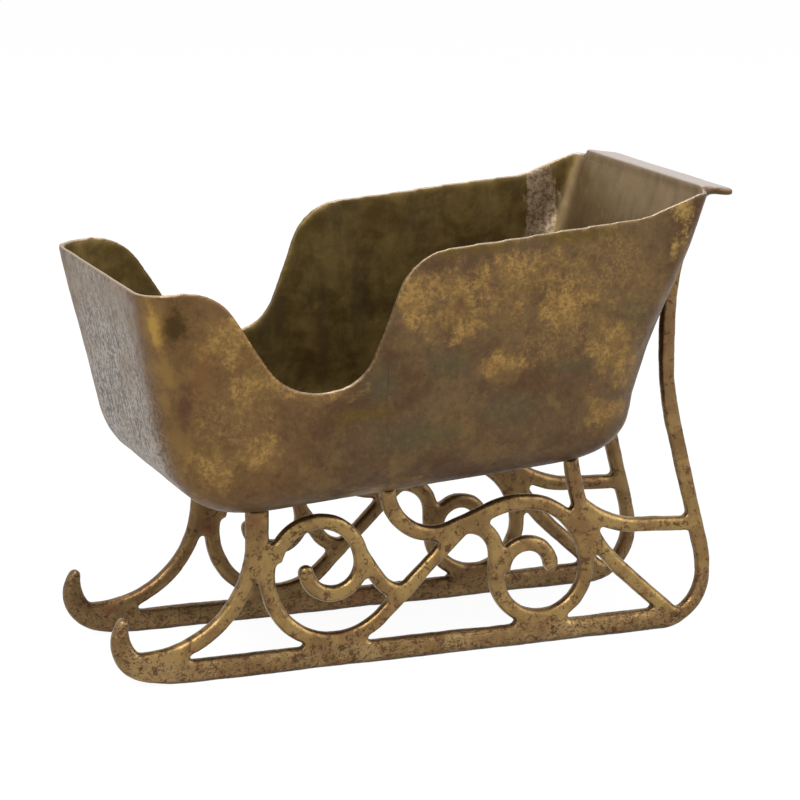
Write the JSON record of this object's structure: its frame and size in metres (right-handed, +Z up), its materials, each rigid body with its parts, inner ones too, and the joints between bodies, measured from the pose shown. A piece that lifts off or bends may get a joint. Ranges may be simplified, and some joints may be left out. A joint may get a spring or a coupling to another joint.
{
  "type": "model horse-drawn sleigh",
  "caption": "Small cast-brass model of a horse-drawn sleigh: a bathtub-shaped body with a stepped rim and rear lip, on two scrolled runner frames.",
  "frame": {"origin": "centre of the bounding box at the level of the runners' soles", "axes": "+X forward, towards the upturned toes; +Y to the sleigh's left; +Z up"},
  "size_m": [0.2853, 0.1512, 0.2093],
  "materials": {
    "body_inside": "dark olive-brown aged brass, as cast",
    "dash": "greyish sheen over pitted aged brass",
    "body_side": "mottled brown patina with golden patches and fine pits",
    "body_back": "mottled brown patina with fine pits",
    "lip": "smooth worn brass with a pale sheen on top",
    "runner": "pitted brown brass with worn golden edges",
    "scrollwork": "golden-brown worn brass with dark crevices"
  },
  "bodies": {
    "root": {"floor_pan": "body_inside", "dash_panel": "dash", "left_side_panel": "body_side", "right_side_panel": "body_side", "back_panel": "body_back", "rear_lip": "lip", "left_runner": "runner", "left_front_leg": "scrollwork", "left_lower_scroll": "scrollwork", "left_front_scroll": "scrollwork", "left_scroll_branch": "scrollwork", "left_middle_bar": "scrollwork", "left_rear_ring": "scrollwork", "left_rear_curl": "scrollwork", "left_rear_leg": "scrollwork", "left_tie_bar": "scrollwork", "left_rear_post": "scrollwork", "right_runner": "runner", "right_front_leg": "scrollwork", "right_lower_scroll": "scrollwork", "right_front_scroll": "scrollwork", "right_scroll_branch": "scrollwork", "right_middle_bar": "scrollwork", "right_rear_ring": "scrollwork", "right_rear_curl": "scrollwork", "right_rear_leg": "scrollwork", "right_tie_bar": "scrollwork", "right_rear_post": "scrollwork"}
  },
  "joints": []
}
